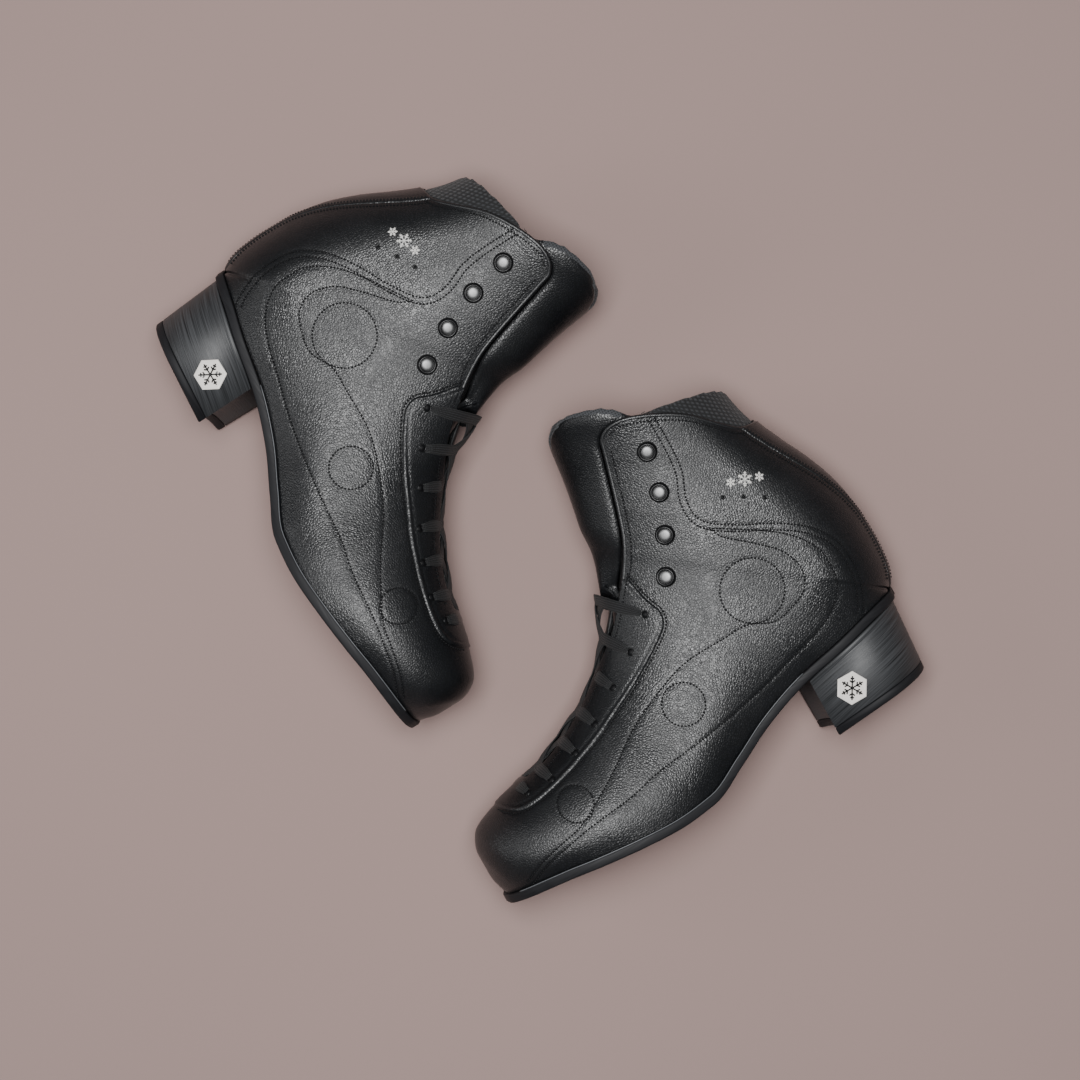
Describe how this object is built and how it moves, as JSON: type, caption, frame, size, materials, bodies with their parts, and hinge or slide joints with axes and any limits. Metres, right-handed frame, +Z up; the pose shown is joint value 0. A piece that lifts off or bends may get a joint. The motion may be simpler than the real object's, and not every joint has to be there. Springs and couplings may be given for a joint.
{
  "type": "figure skating boots",
  "caption": "Lace-up leather figure skating boots without blades, lying on their sides, with raised heels, padded tongues, round lacing studs and knit collars.",
  "frame": {"origin": "on the surface the boots lie on, under the middle of the pair's overall box", "axes": "+Z up from the surface, along the boots' width; the left boot's toe points to -X and its opening to +Y; the right boot's toe points to -Y and its opening to +X"},
  "size_m": [0.284, 0.3852, 0.0906],
  "materials": {
    "leather": "pebbled grain, semi-gloss",
    "knit": "padded ribbed knit",
    "lining": "matt woven lining",
    "stiffener": "moulded stiffener",
    "board": "fibre board",
    "steel": "sprung steel",
    "sole": "smooth sole leather, sealed black",
    "heel": "stacked heel, sealed black and burnished",
    "badge": "pale enamelled plate",
    "lace": "flat woven lace",
    "stud": "polished dome with a blackened edge"
  },
  "bodies": {
    "left_boot": {"left_vamp": "leather", "left_lateral_quarter": "leather", "left_medial_quarter": "leather", "left_backstay": "leather", "left_collar": "knit", "left_lining": "lining", "left_heel_counter": "stiffener", "left_toe_puff": "stiffener", "left_tongue_base": "leather", "left_insole_board": "board", "left_footbed": "lining", "left_shank": "steel", "left_outsole": "sole", "left_heel_block": "heel", "left_top_lift": "heel", "left_heel_badge": "badge", "left_laces": "lace", "left_lateral_stud_1": "stud", "left_medial_stud_1": "stud", "left_lateral_stud_2": "stud", "left_medial_stud_2": "stud", "left_lateral_stud_3": "stud", "left_medial_stud_3": "stud", "left_lateral_stud_4": "stud", "left_medial_stud_4": "stud"},
    "left_tongue": {"left_tongue_flap": "leather"},
    "right_boot": {"right_vamp": "leather", "right_lateral_quarter": "leather", "right_medial_quarter": "leather", "right_backstay": "leather", "right_collar": "knit", "right_lining": "lining", "right_heel_counter": "stiffener", "right_toe_puff": "stiffener", "right_tongue_base": "leather", "right_insole_board": "board", "right_footbed": "lining", "right_shank": "steel", "right_outsole": "sole", "right_heel_block": "heel", "right_top_lift": "heel", "right_heel_badge": "badge", "right_laces": "lace", "right_lateral_stud_1": "stud", "right_medial_stud_1": "stud", "right_lateral_stud_2": "stud", "right_medial_stud_2": "stud", "right_lateral_stud_3": "stud", "right_medial_stud_3": "stud", "right_lateral_stud_4": "stud", "right_medial_stud_4": "stud"},
    "right_tongue": {"right_tongue_flap": "leather"}
  },
  "joints": [
    {"name": "left_tongue_fold", "type": "hinge", "parent": "left_boot", "child": "left_tongue", "pos_m": [-0.00146, -0.08183, 0.04434], "axis": [0.0627, -0.0365, 0.9974], "range_deg": [0, 24]},
    {"name": "right_tongue_fold", "type": "hinge", "parent": "right_boot", "child": "right_tongue", "pos_m": [-0.028, 0.05053, 0.04434], "axis": [0.0393, -0.061, -0.9974], "range_deg": [0, 24]},
    {"name": "right_boot_shift", "type": "slide", "parent": "left_boot", "child": "right_boot", "axis": [0, 1, 0], "range_m": [0, 0.15]}
  ]
}
